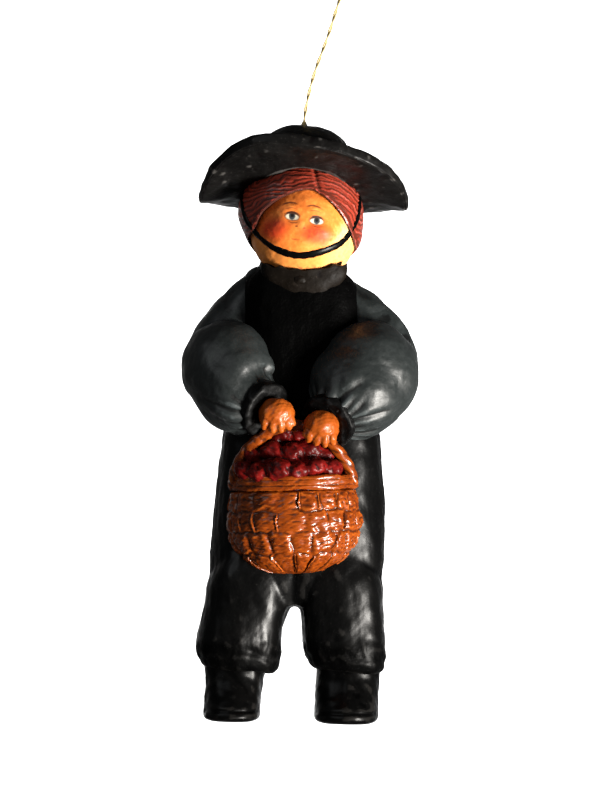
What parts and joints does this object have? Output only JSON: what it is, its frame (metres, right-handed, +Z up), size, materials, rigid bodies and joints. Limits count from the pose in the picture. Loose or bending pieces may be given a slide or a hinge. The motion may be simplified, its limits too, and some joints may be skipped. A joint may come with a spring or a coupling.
{
  "type": "hanging carved figure ornament",
  "caption": "Hanging folk ornament, a carved and painted wooden pilgrim in a wide hat, who holds a basket of apples below a twisted thread.",
  "frame": {"origin": "inside top of the thread's eye, where the hook that holds the ornament touches it", "axes": "+Z up along the figure, the figure faces -Y, +X to the right of someone who looks at its face"},
  "size_m": [0.0451, 0.0338, 0.1477],
  "materials": {
    "black_paint": "aged satin paint over carved wood, black",
    "gold_thread": "twisted metallic thread, pale gold"
  },
  "bodies": {
    "root": {"figure": "black_paint", "hanging_thread": "gold_thread", "thread_eye": "gold_thread", "thread_knot": "gold_thread"}
  },
  "joints": []
}
